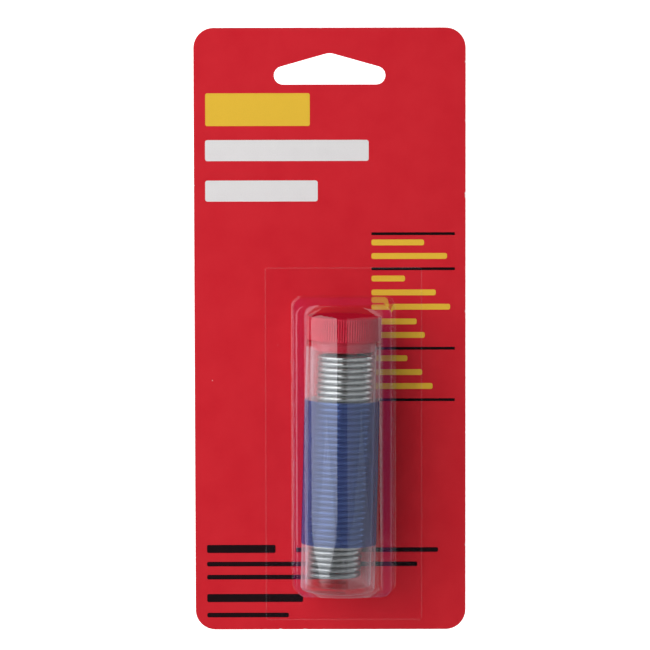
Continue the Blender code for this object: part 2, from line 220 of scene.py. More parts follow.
def add_stage_plane(name, corners, material):
    """One flat square of the studio, which is no part of the object."""
    mesh = bpy.data.meshes.new(name)
    mesh.from_pydata(corners, [], [(0, 1, 2, 3)])
    mesh.materials.append(material)
    plane = bpy.data.objects.new(name, mesh)
    bpy.context.scene.collection.objects.link(plane)
    return plane


def pale_ground(name, glow, mirrored):
    """A pale matt paper that glows for rays that look at it, and keeps shadows if glow is low."""
    material = bpy.data.materials.new(name)
    material.use_nodes = True
    tree = material.node_tree
    path = add_node(tree, "ShaderNodeLightPath").outputs
    seen = maths(tree, "MAXIMUM", path["Is Camera Ray"], path["Is Transmission Ray"])
    seen = maths(tree, "MULTIPLY", seen, glow)
    in_mirrors = maths(tree, "MULTIPLY", path["Is Glossy Ray"], mirrored)
    shader = tree.nodes["Principled BSDF"]
    shader.inputs["Base Color"].default_value = PAPER_GREY
    shader.inputs["Roughness"].default_value = 0.9
    shader.inputs["Emission Color"].default_value = (1, 1, 1, 1)
    tree.links.new(maths(tree, "MAXIMUM", seen, in_mirrors), shader.inputs["Emission Strength"])
    # The paper has one face only, so a view from behind sees the card's back and not the paper.
    from_behind = add_node(tree, "ShaderNodeNewGeometry").outputs["Backfacing"]
    nothing = add_node(tree, "ShaderNodeBsdfTransparent").outputs["BSDF"]
    finish_surface(tree, mix_shaders(tree, from_behind, shader.outputs["BSDF"], nothing))
    return material


floor_corners = [
    (x * FLOOR_REACH, y * FLOOR_REACH, FLOOR_HEIGHT)
    for x, y in ((-1, -1), (1, -1), (1, 1), (-1, 1))
]
wall_corners = [
    (x * BACKDROP_REACH, BACKDROP_BEHIND, height)
    for x, height in ((-1, FLOOR_HEIGHT), (1, FLOOR_HEIGHT), (1, BACKDROP_TOP), (-1, BACKDROP_TOP))
]
add_stage_plane("floor", floor_corners, pale_ground("floor_paper", FLOOR_GLOW, FLOOR_IN_MIRRORS))
add_stage_plane("backdrop", wall_corners,
                pale_ground("backdrop_paper", BACKDROP_GLOW, BACKDROP_IN_MIRRORS))
print("floor at", FLOOR_HEIGHT, "m, backdrop", BACKDROP_BEHIND, "m behind the card")

# %% [markdown]
# ## Small tools for finishes
# Every finish here is a node tree. They all need the same few things: a shader with its plain
# values, a noise at a stated grain, and a mix between two colours. Short helpers keep each finish
# readable. All patterns read object coordinates, which are metres in the frame of the solids.

# %% Helpers for finishes
def new_finish(name, colour, roughness, **plain):
    """A Principled material. Values that are the same all over sit on the shader's own sockets."""
    material = bpy.data.materials.new(name)
    material.use_nodes = True
    shader = material.node_tree.nodes["Principled BSDF"]
    shader.inputs["Base Color"].default_value = (*colour, 1)
    shader.inputs["Roughness"].default_value = roughness
    for socket, value in plain.items():
        shader.inputs[socket.replace("_", " ")].default_value = value
    return material, material.node_tree, shader


def see_through_material(name):
    """A material without a shader yet, for plastics that light passes straight through."""
    material = bpy.data.materials.new(name)
    material.use_nodes = True
    tree = material.node_tree
    tree.nodes.remove(tree.nodes["Principled BSDF"])
    return material, tree


def place_of(tree):
    """Where each point lies, in metres."""
    return add_node(tree, "ShaderNodeTexCoord").outputs["Object"]


def part_of(tree, vector, axis):
    """One of a vector's three numbers, by its axis."""
    return add_node(tree, "ShaderNodeSeparateXYZ", {0: vector}).outputs[axis]


def normal_of(tree, kind="Normal"):
    """Which way the surface faces, smoothed, or the flat face's own way with True Normal."""
    return add_node(tree, "ShaderNodeNewGeometry").outputs[kind]


def noise(tree, vector, grain, detail=3.0, roughness=0.55):
    """Noise whose blotches are about grain metres across, from 0 to 1."""
    inputs = {"Vector": vector, "Scale": 1 / grain, "Detail": detail, "Roughness": roughness}
    return add_node(tree, "ShaderNodeTexNoise", inputs).outputs["Fac"]


def ramp(tree, value, low, high, to_low=0.0, to_high=1.0):
    """Maps low..high onto to_low..to_high, and holds the ends."""
    inputs = {"Value": value, "From Min": low, "From Max": high, "To Min": to_low,
              "To Max": to_high}
    return add_node(tree, "ShaderNodeMapRange", inputs).outputs["Result"]


def mix_colour(tree, factor, first, second):
    """A blend from the first colour to the second as factor goes from 0 to 1."""
    first = first if isinstance(first, bpy.types.NodeSocket) else (*first, 1)
    second = second if isinstance(second, bpy.types.NodeSocket) else (*second, 1)
    node = add_node(tree, "ShaderNodeMix", {0: factor, 6: first, 7: second}, data_type="RGBA")
    return node.outputs[2]


def bump(tree, height, strength, distance):
    """A normal that is tilted as if the surface rose by height times distance."""
    inputs = {"Height": height, "Strength": strength, "Distance": distance}
    return add_node(tree, "ShaderNodeBump", inputs).outputs["Normal"]


print("finish helpers ready")

# %% Helpers for pieces
def mesh_from(name, form, sharp_degrees=None):
    """Turns a finished bmesh into a smooth mesh that keeps edges over sharp_degrees sharp."""
    mesh = bpy.data.meshes.new(name)
    form.to_mesh(mesh)
    form.free()
    mesh.shade_smooth()
    if sharp_degrees is not None:
        mesh.set_sharp_from_angle(angle=math.radians(sharp_degrees))
    return mesh


def add_piece(name, mesh, materials, body, slot, *replaced):
    """Puts a mesh in the scene as a named piece that moves with a body of the frame."""
    for material in materials:
        mesh.materials.append(material)
    piece = bpy.data.objects.new(name, mesh)
    bpy.context.scene.collection.objects.link(piece)
    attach(piece, body)
    if replaced:
        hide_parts(*replaced)
    print(f"{name}: {len(mesh.polygons)} faces, moves with {body}")
    return piece


# %% [markdown]
# ## The card's print and board
# The card is grey-white board with a red coated face. Its solid has the right outline, so it stays
# and only gets a finish. The front is told from the cut edges and the back by its true normal. Red
# board wears to white at its edges first, so the finish measures how far each point is from the
# outline, the same way as a signed distance to a rounded rectangle, and bares the board there in
# small nicks.

# %% Measure the card for its finish
card_low, card_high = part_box("backing_card")
CARD_CORNER_RADIUS = 5.2 * MM
card_centre = (card_low + card_high) / 2
card_half = (card_high - card_low) / 2
card_front = card_low.y
print("card", [round(1000 * 2 * value, 2) for value in card_half], "mm")


def distance_inside_card(tree, place):
    """How far a point of the card lies inside its outline, in metres."""
    centred = add_node(tree, "ShaderNodeVectorMath", {0: place, 1: card_centre},
                       operation="SUBTRACT")
    flat = add_node(tree, "ShaderNodeVectorMath", {0: centred.outputs[0], 1: (1, 0, 1)},
                    operation="MULTIPLY")
    folded = add_node(tree, "ShaderNodeVectorMath", {0: flat.outputs[0]}, operation="ABSOLUTE")
    straight = (card_half.x - CARD_CORNER_RADIUS, 0, card_half.z - CARD_CORNER_RADIUS)
    past = add_node(tree, "ShaderNodeVectorMath", {0: folded.outputs[0], 1: straight},
                    operation="SUBTRACT")
    corner = add_node(tree, "ShaderNodeVectorMath", {0: past.outputs[0], 1: (0, 0, 0)},
                      operation="MAXIMUM")
    outside = add_node(tree, "ShaderNodeVectorMath", {0: corner.outputs[0]}, operation="LENGTH")
    parts = add_node(tree, "ShaderNodeSeparateXYZ", {0: past.outputs[0]}).outputs
    inside = maths(tree, "MINIMUM", maths(tree, "MAXIMUM", parts["X"], parts["Z"]), 0.0)
    signed = maths(tree, "SUBTRACT", maths(tree, "ADD", outside.outputs["Value"], inside),
                   CARD_CORNER_RADIUS)
    return maths(tree, "MULTIPLY", signed, -1.0)


# %% Make the card's finish
CARD_RED = (0.70, 0.022, 0.034)
CARD_RED_DEEP = (0.665, 0.017, 0.029)
CARD_RED_ON_FIBRES = (0.75, 0.035, 0.047)
CARD_SPECK = (0.85, 0.62, 0.62)
BOARD_WHITE = (0.80, 0.77, 0.72)
BOARD_GREY = (0.52, 0.49, 0.44)


def card_finish():
    """Red coating with a fine grain and a few specks, worn at the outline, on bare grey board."""
    material, tree, shader = new_finish("coated_red_board", CARD_RED, 0.36, Specular_IOR_Level=0.07)
    place = place_of(tree)
    mottle = ramp(tree, noise(tree, place, 9 * MM), 0.35, 0.7)
    fibre = noise(tree, place, 0.35 * MM, detail=4)
    red = mix_colour(tree, mottle, CARD_RED, CARD_RED_DEEP)
    red = mix_colour(tree, ramp(tree, fibre, 0.45, 0.8, 0, 0.12), red, CARD_RED_ON_FIBRES)
    speck = add_node(tree, "ShaderNodeTexVoronoi", {"Vector": place, "Scale": 1 / (7 * MM)})
    chosen = maths(tree, "GREATER_THAN", noise(tree, place, 21 * MM, detail=1), 0.53)
    small = maths(tree, "LESS_THAN", speck.outputs["Distance"], 0.016)
    red = mix_colour(tree, maths(tree, "MULTIPLY", small, chosen), red, CARD_SPECK)
    worn = maths(tree, "MULTIPLY", ramp(tree, noise(tree, place, 3.2 * MM), 0.62, 0.78), 0.6 * MM)
    worn = maths(tree, "ADD", worn,
                 maths(tree, "MULTIPLY", noise(tree, place, 0.5 * MM), 0.14 * MM))
    bared = maths(tree, "LESS_THAN", distance_inside_card(tree, place), worn)
    front_colour = mix_colour(tree, bared, red, BOARD_WHITE)
    flecks = ramp(tree, noise(tree, place, 0.8 * MM, detail=5), 0.4, 0.75)
    board = mix_colour(tree, flecks, BOARD_WHITE, BOARD_GREY)
    is_front = maths(tree, "LESS_THAN", part_of(tree, normal_of(tree, "True Normal"), "Y"), -0.7)
    tree.links.new(mix_colour(tree, is_front, board, front_colour), shader.inputs["Base Color"])
    printed = maths(tree, "MULTIPLY", is_front, maths(tree, "SUBTRACT", 1.0, bared))
    gloss = ramp(tree, noise(tree, place, 2.5 * MM), 0.3, 0.7, 0.30, 0.40)
    rough = maths(tree, "MULTIPLY_ADD", printed, maths(tree, "SUBTRACT", gloss, 0.8), 0.8)
    tree.links.new(rough, shader.inputs["Roughness"])
    tree.links.new(bump(tree, fibre, 0.35, 0.03 * MM), shader.inputs["Normal"])
    return material


card = frame["nodes"]["backing_card"]
for slot in card.material_slots:
    slot.material = card_finish()
print("card finished")

# %% [markdown]
# ## Plain bars of ink
# A part for a library stays free of words. So the card's front carries plain bars in yellow, white
# and black, and four thin black rules. They could be painted by the card's own shader, but a film
# of ink is a thing of its own: each colour is one flat mesh of round-cornered bars, a fiftieth of a
# millimetre in front of the board.

# %% Draw the printed bars
INK_FILM = 0.02 * MM
TEXT_LEFT = -31.9
COLUMN_LEFT = 10.67
COLUMN_RIGHT = 32.10
RULE_HALF_HEIGHT = 0.36
YELLOW_LINE_HALF_HEIGHT = 0.75
BLACK_LINE_HALF_HEIGHT = 0.6
CORNER_STEPS = 6


def ink_mesh(name, bars, corner):
    """Flat bars, each (left, right, low, high) in millimetres, with corners of the same radius."""
    film = bmesh.new()
    for left, right, low, high in bars:
        radius = min(corner, (right - left) / 2.001, (high - low) / 2.001)
        outline = []
        for x, z, start in (
            (right - radius, high - radius, 0),
            (left + radius, high - radius, 90),
            (left + radius, low + radius, 180),
            (right - radius, low + radius, 270),
        ):
            for step in range(CORNER_STEPS + 1):
                angle = math.radians(start + 90 / CORNER_STEPS * step)
                outline.append((x + radius * math.cos(angle), z + radius * math.sin(angle)))
        vertices = [film.verts.new((x * MM, card_front - INK_FILM, z * MM)) for x, z in outline]
        film.faces.new(vertices)
    mesh = bpy.data.meshes.new(name)
    film.to_mesh(mesh)
    film.free()
    return mesh


def ink_finish(name, colour, roughness=0.45):
    """Printing ink that lets a little of the board's grain through."""
    material, tree, shader = new_finish(name, colour, roughness, Specular_IOR_Level=0.06)
    place = place_of(tree)
    grain = ramp(tree, noise(tree, place, 0.3 * MM, detail=4), 0.45, 0.85, 0, 0.22)
    patchy = ramp(tree, noise(tree, place, 6 * MM), 0.3, 0.7, 0, 0.08)
    shade = tuple(0.75 * value for value in colour)
    tinted = mix_colour(tree, maths(tree, "ADD", grain, patchy), colour, shade)
    tree.links.new(tinted, shader.inputs["Base Color"])
    tree.links.new(bump(tree, noise(tree, place, 0.35 * MM), 0.3, 0.02 * MM),
                   shader.inputs["Normal"])
    return material


def add_print(name, bars, corner, ink, colour):
    """One colour of the print, as a film of bars on the card."""
    add_piece(name, ink_mesh(name, bars, corner), [ink_finish(ink, colour)],
              "card", "printed_board")


rules = [(COLUMN_LEFT, COLUMN_RIGHT, z - RULE_HALF_HEIGHT, z + RULE_HALF_HEIGHT)
         for z in (-46.35, -55.40, -75.94, -89.25)]
add_print("print_rules", rules, 0.1, "black_ink", (0.006, 0.003, 0.004))

yellow_bars = [(TEXT_LEFT, -5.1, -18.6, -10.2)]
for end, z in ((24.2, -48.6), (30.1, -52.1), (19.3, -57.9), (27.2, -61.5), (30.9, -65.2),
               (22.3, -69.0), (24.4, -72.5), (19.9, -78.5), (23.7, -82.1), (26.4, -85.7)):
    yellow_bars.append((COLUMN_LEFT, end, z - YELLOW_LINE_HALF_HEIGHT, z + YELLOW_LINE_HALF_HEIGHT))
add_print("print_yellow", yellow_bars, 0.5, "yellow_ink", (0.90, 0.56, 0.05))

white_bars = [(-32.0, 10.0, -27.6, -22.2), (-32.0, -3.1, -38.0, -32.6)]
add_print("print_white", white_bars, 0.6, "white_ink", (0.86, 0.84, 0.83))

# The black bars beside the pocket run on under it.
black_bars = [(TEXT_LEFT, -14.2, -129.0, -126.9), (TEXT_LEFT, -7.1, -141.8, -139.7)]
for start, end, z in ((-9.6, 27.8, -128.2), (TEXT_LEFT, 22.4, -131.9), (TEXT_LEFT, 4.0, -135.3),
                      (TEXT_LEFT, -10.8, -145.2)):
    black_bars.append((start, end, z - BLACK_LINE_HALF_HEIGHT, z + BLACK_LINE_HALF_HEIGHT))
add_print("print_black", black_bars, 0.4, "dark_ink", (0.012, 0.004, 0.006))

# %% [markdown]
# ## The blister
# The blister is one sheet, 0.3 mm thick, drawn over a mould: a flat flange, a deep stage with
# leaning walls, a ledge, and a round dome over the tube. It could be a subdivided cage, but its
# highlights need true fillets, so it is a loft: one closed outline for each level, joined by quads.
# The solid has the same levels with fewer steps. It also has the sheet's thickness, which the
# visual leaves out: one open surface stands for both faces, so that light meets few see-through
# layers.

# %% Say how the blister is shaped
blister_low, blister_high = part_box("blister")
SHEET = 0.3 * MM
FLANGE_MARGIN = 7.1 * MM
FLANGE_TOP_MARGIN = 7.5 * MM
FLANGE_CORNER_RADIUS = 0.6 * MM
POCKET_CORNER_RADIUS = 2.8 * MM
FOOT_FILLET = 0.4 * MM
STAGE_LEDGE = 2.6 * MM
STAGE_FILLET = 0.5 * MM
SIDE_DRAFT = math.tan(math.radians(3.0))
TOP_DRAFT = math.tan(math.radians(3.1))
BOTTOM_DRAFT = math.tan(math.radians(3.8))
DOME_FOOT_ANGLE = math.radians(33)
DOME_END_FILLET = 2.6 * MM
END_FLATNESS = 1.7
flange_front = blister_high.y - SHEET
dome_depth = flange_front - blister_low.y
pocket_centre_x = (blister_low.x + blister_high.x) / 2
pocket_half_width = (blister_high.x - blister_low.x) / 2 - FLANGE_MARGIN
pocket_bottom = blister_low.z + FLANGE_MARGIN
pocket_top = blister_high.z - FLANGE_TOP_MARGIN
foot_reach = math.cos(DOME_FOOT_ANGLE) - (1 - math.sin(DOME_FOOT_ANGLE)) * SIDE_DRAFT
dome_radius = (pocket_half_width - STAGE_LEDGE - dome_depth * SIDE_DRAFT) / foot_reach
axis_depth = dome_depth - dome_radius
stage_depth = axis_depth + dome_radius * math.sin(DOME_FOOT_ANGLE)
print(f"dome radius {dome_radius / MM:.2f} mm,",
      f"axis {axis_depth / MM:.2f} mm in front of the flange")


# %% Loft the blister
def pocket_ends(depth, flare=0.0):
    """The lowest and highest point of the pocket's walls at a depth."""
    return pocket_bottom + depth * BOTTOM_DRAFT - flare, pocket_top - depth * TOP_DRAFT + flare


def rounded_oblong(half_width, ends, radius, steps):
    """A closed outline that starts on the right side and runs counter-clockwise."""
    x = half_width - radius
    low = ends[0] + radius
    high = ends[1] - radius
    outline = []
    for side_x, side_z, start in ((x, high, 0), (-x, high, 90), (-x, low, 180), (x, low, 270)):
        for step in range(steps + 1):
            angle = math.radians(start + 90 * step / steps)
            outline.append((side_x + radius * math.cos(angle), side_z + radius * math.sin(angle)))
    return outline


def dome_outline(height, ends, steps):
    """The dome's outline at a height over its axis, with its two end edges bevelled nearly flat."""
    inner = dome_radius - DOME_END_FILLET
    rise = min(1.0, max(0.0, (height - inner) / DOME_END_FILLET))
    lowest = math.asin(rise ** (1 / END_FLATNESS))
    corner = []
    for step in range(steps + 1):
        angle = math.pi / 2 + (lowest - math.pi / 2) * step / steps
        reach = inner + DOME_END_FILLET * math.sin(angle) ** END_FLATNESS
        x = math.sqrt(max(0.0, reach * reach - height * height))
        corner.append((x, DOME_END_FILLET * (1 - max(0.0, math.cos(angle)) ** END_FLATNESS)))
    low, high = ends
    right_top = [(x, high - inset) for x, inset in corner]
    left_top = [(-x, high - inset) for x, inset in reversed(corner)]
    left_bottom = [(-x, low + inset) for x, inset in corner]
    right_bottom = [(x, low + inset) for x, inset in reversed(corner)]
    return right_top + left_top + left_bottom + right_bottom


def blister_levels(steps=10, fillet_steps=6, dome_steps=36):
    """Each level as (depth, outline), from the flange's edge to the crown of the dome."""
    edge = rounded_oblong(pocket_half_width + FLANGE_MARGIN, (blister_low.z, blister_high.z),
                          FLANGE_CORNER_RADIUS, steps)
    levels = [(0, edge)]
    for step in range(fillet_steps + 1):
        angle = math.pi / 2 * step / fillet_steps
        depth = FOOT_FILLET * (1 - math.cos(angle))
        flare = FOOT_FILLET * (1 - math.sin(angle))
        width = pocket_half_width - depth * SIDE_DRAFT + flare
        outline = rounded_oblong(width, pocket_ends(depth, flare), POCKET_CORNER_RADIUS + flare,
                                 steps)
        levels.append((depth, outline))
    for step in range(fillet_steps + 1):
        angle = math.pi / 2 * step / fillet_steps
        depth = stage_depth - STAGE_FILLET * (2 - math.sin(DOME_FOOT_ANGLE) - math.sin(angle))
        inset = depth * SIDE_DRAFT + STAGE_FILLET * (1 - math.cos(angle))
        outline = rounded_oblong(pocket_half_width - inset, pocket_ends(depth),
                                 POCKET_CORNER_RADIUS, steps)
        levels.append((depth, outline))
    upright = math.pi / 2 - DOME_FOOT_ANGLE
    for step in range(fillet_steps + 1):
        angle = upright * step / fillet_steps
        depth = stage_depth - STAGE_FILLET * (math.cos(angle) - math.cos(upright))
        dome_foot = dome_radius * math.cos(DOME_FOOT_ANGLE)
        width = dome_foot + STAGE_FILLET * (math.sin(upright) - math.sin(angle))
        levels.append((depth, rounded_oblong(width, pocket_ends(depth), DOME_END_FILLET, steps)))
    for step in range(1, dome_steps + 1):
        height = dome_radius * math.sin(DOME_FOOT_ANGLE + upright * step / dome_steps)
        depth = axis_depth + height
        levels.append((depth, dome_outline(height, pocket_ends(depth), steps)))
    return levels


def blister_mesh():
    """The levels joined by quads, from the flange's edge to the crown."""
    form = bmesh.new()
    rings = []
    for depth, outline in blister_levels():
        ring = [(pocket_centre_x + x, flange_front - depth, z) for x, z in outline]
        rings.append([form.verts.new(point) for point in ring])
    count = len(rings[0])
    for lower, upper in zip(rings, rings[1:]):
        for index in range(count):
            after = (index + 1) % count
            form.faces.new((lower[index], lower[after], upper[after], upper[index]))
    bmesh.ops.remove_doubles(form, verts=form.verts, dist=0.0005 * MM)
    return mesh_from("blister_sheet", form, 24)


print(len(blister_levels()), "levels in the loft")

# %% [markdown]
# ## Clear plastic sheet
# A thin clear sheet hardly bends light, so a true glass shader would only add noise and dark
# shadows. Here the sheet is a see-through shader mixed with a mirror-like one. The share of mirror
# follows Schlick's rule: a few hundredths seen square on, and most of the light at a grazing angle.
# The one surface mirrors what both faces of the sheet would mirror. The sheet's drawn walls are a
# little hazy, and the haze is tinted violet as painted light: the blue label's light bounced onto
# the red card in the pocket. A painted highlight lines the flange's cut edge. The flange, which is
# pressed flat on the card, mirrors next to nothing.

# %% Make the clear sheet's finish
SHEET_TINT = (0.99, 0.98, 1.0, 1)
SHEET_MIRROR = (0.90, 0.96, 1, 1)
SHEET_GLOSS = 0.03
SHEET_SQUARE_ON = 0.027
FLANGE_MIRROR = 0.05
# The drawn walls' haze is partly real; its violet is painted bounce light from the blue label.
WALL_HAZE_AND_BOUNCE = 0.042
WALL_HAZE_AND_BOUNCE_COLOUR = (0.95, 0.05, 0.62)
# Specks are real dust; the same pale colour paints a highlight along the flange's cut edge.
SPECK_AND_RIM_HIGHLIGHT_COLOUR = (0.9, 0.9, 0.92)
SPECK_HAZE = 0.35
RIM_PAINTED_HIGHLIGHT = 0.05
RIM_WIDTH = 0.22 * MM
SHARE_HIDDEN_FROM_LAMPS = 0.45


def mirror_share(tree, square_on):
    """The share that a clear face mirrors. Lamps lose only a part of it on their way through."""
    facing = add_node(tree, "ShaderNodeLayerWeight", {"Blend": 0.5}).outputs["Facing"]
    share = maths(tree, "MULTIPLY", maths(tree, "POWER", facing, 5.0), 0.8)
    share = maths(tree, "ADD", share, square_on)
    shadow = add_node(tree, "ShaderNodeLightPath").outputs["Is Shadow Ray"]
    kept = maths(tree, "SUBTRACT", 1.0, maths(tree, "MULTIPLY", shadow, SHARE_HIDDEN_FROM_LAMPS))
    return maths(tree, "MULTIPLY", share, kept)


def distance_from_cut(tree, place):
    """How far a point of the sheet lies from the cut edge of its flange, in metres."""
    parts = add_node(tree, "ShaderNodeSeparateXYZ", {0: place}).outputs
    nearest = 1.0
    for axis in ("X", "Z"):
        low = getattr(blister_low, axis.lower())
        high = getattr(blister_high, axis.lower())
        nearest = maths(tree, "MINIMUM", nearest, maths(tree, "SUBTRACT", parts[axis], low))
        nearest = maths(tree, "MINIMUM", nearest, maths(tree, "SUBTRACT", high, parts[axis]))
    return nearest


def clear_sheet():
    """The blister's plastic: clear, glossy, a little hazy where it was drawn, with a few specks.
    The haze's violet is painted bounce light, and the cut edge gets a painted highlight.
    """
    material, tree = see_through_material("clear_formed_sheet")
    place = place_of(tree)
    depth = part_of(tree, place, "Y")
    formed = ramp(tree, depth, flange_front - 0.010 * MM, flange_front - 0.002 * MM, 1.0,
                  FLANGE_MIRROR)
    one_face = mirror_share(tree, SHEET_SQUARE_ON)
    both_faces = maths(tree, "MULTIPLY", one_face, maths(tree, "SUBTRACT", 2.0, one_face))
    share = maths(tree, "MULTIPLY", both_faces, formed)
    see_through = add_node(tree, "ShaderNodeBsdfTransparent", {"Color": SHEET_TINT})
    ripple = bump(tree, noise(tree, place, 14 * MM, detail=2), 0.25, 0.12 * MM)
    gloss = ramp(tree, noise(tree, place, 3 * MM, detail=4), 0.45, 0.75, SHEET_GLOSS,
                 2.2 * SHEET_GLOSS)
    mirrored = {"Color": SHEET_MIRROR, "Roughness": gloss, "Normal": ripple}
    mirror = add_node(tree, "ShaderNodeBsdfGlossy", mirrored)
    clear = mix_shaders(tree, share, see_through.outputs[0], mirror.outputs[0])
    dust = add_node(tree, "ShaderNodeTexVoronoi", {"Vector": place, "Scale": 1 / (5 * MM)})
    speck = maths(tree, "LESS_THAN", dust.outputs["Distance"], 0.02)
    # Painted light: the haze on the drawn walls is violet, for the blue label's light bounced onto
    # the red card in the pocket.
    wall = ramp(tree, depth, flange_front - 4 * MM, flange_front - 0.5 * MM, WALL_HAZE_AND_BOUNCE, 0.0)
    below_ledge = maths(tree, "GREATER_THAN", depth, flange_front - stage_depth - 0.1 * MM)
    drawn = maths(tree, "MULTIPLY", wall, below_ledge)
    # Painted highlight: a thin pale line along the flange's cut edge, where the real edge catches
    # light.
    rim = maths(tree, "LESS_THAN", distance_from_cut(tree, place), RIM_WIDTH)
    haze_specks_and_painted_light = mix_colour(tree, maths(tree, "MAXIMUM", speck, rim), WALL_HAZE_AND_BOUNCE_COLOUR,
                              SPECK_AND_RIM_HIGHLIGHT_COLOUR)
    milky = add_node(tree, "ShaderNodeBsdfDiffuse", {"Color": haze_specks_and_painted_light})
    specks_and_rim_highlight = maths(tree, "MULTIPLY_ADD", speck, SPECK_HAZE, maths(tree, "MULTIPLY", rim, RIM_PAINTED_HIGHLIGHT))
    veil = maths(tree, "MAXIMUM", specks_and_rim_highlight, drawn)
    finish_surface(tree, mix_shaders(tree, veil, clear, milky.outputs[0]))
    return material


blister = add_piece("blister_sheet", blister_mesh(), [clear_sheet()],
                    "blister", "clear_sheet", "blister")
flats = blister.modifiers.new("Keep flats flat", "WEIGHTED_NORMAL")
flats.mode = "FACE_AREA"
flats.keep_sharp = True

# %% [markdown]
# ## The dispenser tube
# A clear vial with thick walls and a closed foot. A turned shape is a profile swept round an axis,
# and the axis is the one that the frame's joint states, so the tube leans as its solid does. A real
# wall this thick bends the light near its edges, and a glass shader would do the same, at the price
# of noise and dark shadows. The sheet's recipe stands in for it, plus a faint milky veil that grows
# towards the edges, where the line of sight stays longer inside the plastic. The veil's pink is a
# painted reflection of the red card seen bent through the wall, and near the cap it turns to a
# painted red, for the plug seen the same way.

# %% Find the tube's axis
turn = joints["tube_turn"]
tube_foot = Vector(turn["pos_m"])
tube_up = Vector(turn["axis"]).normalized()
TUBE_RADIUS = 9.525 * MM
TUBE_BORE = 8.475 * MM
TUBE_LENGTH = 64.5 * MM
TUBE_FLOOR = 1.6 * MM
TUBE_HEEL = 1.2 * MM
# This frame's Z runs up the tube, its X points to the back and its Y to the left.
tube_frame = Matrix.Translation(tube_foot) @ tube_up.to_track_quat("Z", "Y").to_matrix().to_4x4()
print("tube foot", [round(value / MM, 3) for value in tube_foot], "mm, axis", list(tube_up))


def arc_points(centre, radius, start, stop, steps):
    """Points on an arc between two angles in degrees."""
    points = []
    for step in range(steps + 1):
        angle = math.radians(start + (stop - start) * step / steps)
        points.append((centre[0] + radius * math.cos(angle), centre[1] + radius * math.sin(angle)))
    return points


def turned(name, profile, steps, matrix):
    """Turns (radius, height) points about the Z axis of matrix. Points on it close the form."""
    form = bmesh.new()
    rings = []
    for radius, height in profile:
        if radius < 1e-7:
            rings.append([form.verts.new((0, 0, height))])
            continue
        angles = [math.tau * step / steps for step in range(steps)]
        points = [(radius * math.cos(angle), radius * math.sin(angle), height) for angle in angles]
        rings.append([form.verts.new(point) for point in points])
    for first, second in zip(rings, rings[1:]):
        for step in range(steps):
            after = (step + 1) % steps
            corners = [first[step % len(first)], second[step % len(second)],
                       second[after % len(second)], first[after % len(first)]]
            form.faces.new(list(dict.fromkeys(corners)))
    bmesh.ops.recalc_face_normals(form, faces=form.faces)
    form.transform(matrix)
    return mesh_from(name, form, 40)


# %% Turn the tube
TUBE_LIP = 0.3 * MM
TUBE_TINT = (0.985, 0.99, 0.99, 1)
TUBE_SQUARE_ON = 0.016
TUBE_EDGE_VEIL = 0.34
TUBE_HAZE_AND_PAINTED_CARD_PINK = (0.92, 0.66, 0.70)
# Painted light: the wall's veil is red close to the plug, for the plug seen through the wall.
PAINTED_PLUG_RED = (0.70, 0.03, 0.07)
PAINTED_PLUG_RED_LENGTH = 1.2 * MM


def tube_profile():
    """(radius, height) from the floor's middle up the inside, over the lip, down the outside."""
    profile = [(0, TUBE_FLOOR), (TUBE_BORE - 2.4 * TUBE_HEEL, TUBE_FLOOR)]
    profile += arc_points((TUBE_BORE - TUBE_HEEL / 2, TUBE_FLOOR + TUBE_HEEL / 2), TUBE_HEEL / 2,
                          -90, 0, 6)
    profile += arc_points((TUBE_BORE + TUBE_LIP, TUBE_LENGTH - TUBE_LIP), TUBE_LIP, 180, 90, 5)
    profile += arc_points((TUBE_RADIUS - TUBE_LIP, TUBE_LENGTH - TUBE_LIP), TUBE_LIP, 90, 0, 5)
    profile += arc_points((TUBE_RADIUS - TUBE_HEEL, TUBE_HEEL), TUBE_HEEL, 0, -90, 8)
    return profile + [(TUBE_RADIUS - 2.2 * TUBE_HEEL, 0), (0, 0)]


def clear_tube_finish():
    """Clear thick plastic whose edges look milky. The veil's pink and its red close to the cap's
    plug
    are painted: the red card and the red plug seen bent through the wall.
    """
    material, tree = see_through_material("clear_tube_plastic")
    place = place_of(tree)
    ripple = bump(tree, noise(tree, place, 9 * MM, detail=2), 0.15, 0.05 * MM)
    shine = ramp(tree, noise(tree, place, 2 * MM, detail=4), 0.5, 0.8, 0.03, 0.08)
    see_through = add_node(tree, "ShaderNodeBsdfTransparent", {"Color": TUBE_TINT})
    mirrored = {"Color": (1, 1, 1, 1), "Roughness": shine, "Normal": ripple}
    mirror = add_node(tree, "ShaderNodeBsdfGlossy", mirrored)
    clear = mix_shaders(tree, mirror_share(tree, TUBE_SQUARE_ON), see_through.outputs[0],
                        mirror.outputs[0])
    # Painted light: the veil turns red near the plug, for the red plug seen bent through the thick
    # wall.
    painted_red_from = tube_foot.z + TUBE_LENGTH - PAINTED_PLUG_RED_LENGTH
    near_plug_painted_red = ramp(tree, part_of(tree, place, "Z"), painted_red_from - 0.2 * MM, painted_red_from + 0.2 * MM)
    # Painted reflection: the veil's pink is the red card seen bent through the wall, and by the
    # plug it turns to the plug's red.
    haze_and_painted_reds = mix_colour(tree, near_plug_painted_red, TUBE_HAZE_AND_PAINTED_CARD_PINK, PAINTED_PLUG_RED)
    milky = add_node(tree, "ShaderNodeBsdfDiffuse", {"Color": haze_and_painted_reds})
    edge = add_node(tree, "ShaderNodeLayerWeight", {"Blend": 0.5}).outputs["Facing"]
    upright = maths(tree, "SUBTRACT", 1.0,
                    maths(tree, "ABSOLUTE", part_of(tree, normal_of(tree), "Z")))
    veil = maths(tree, "MULTIPLY", ramp(tree, edge, 0.30, 0.75, 0.0, TUBE_EDGE_VEIL), upright)
    finish_surface(tree, mix_shaders(tree, veil, clear, milky.outputs[0]))
    return material


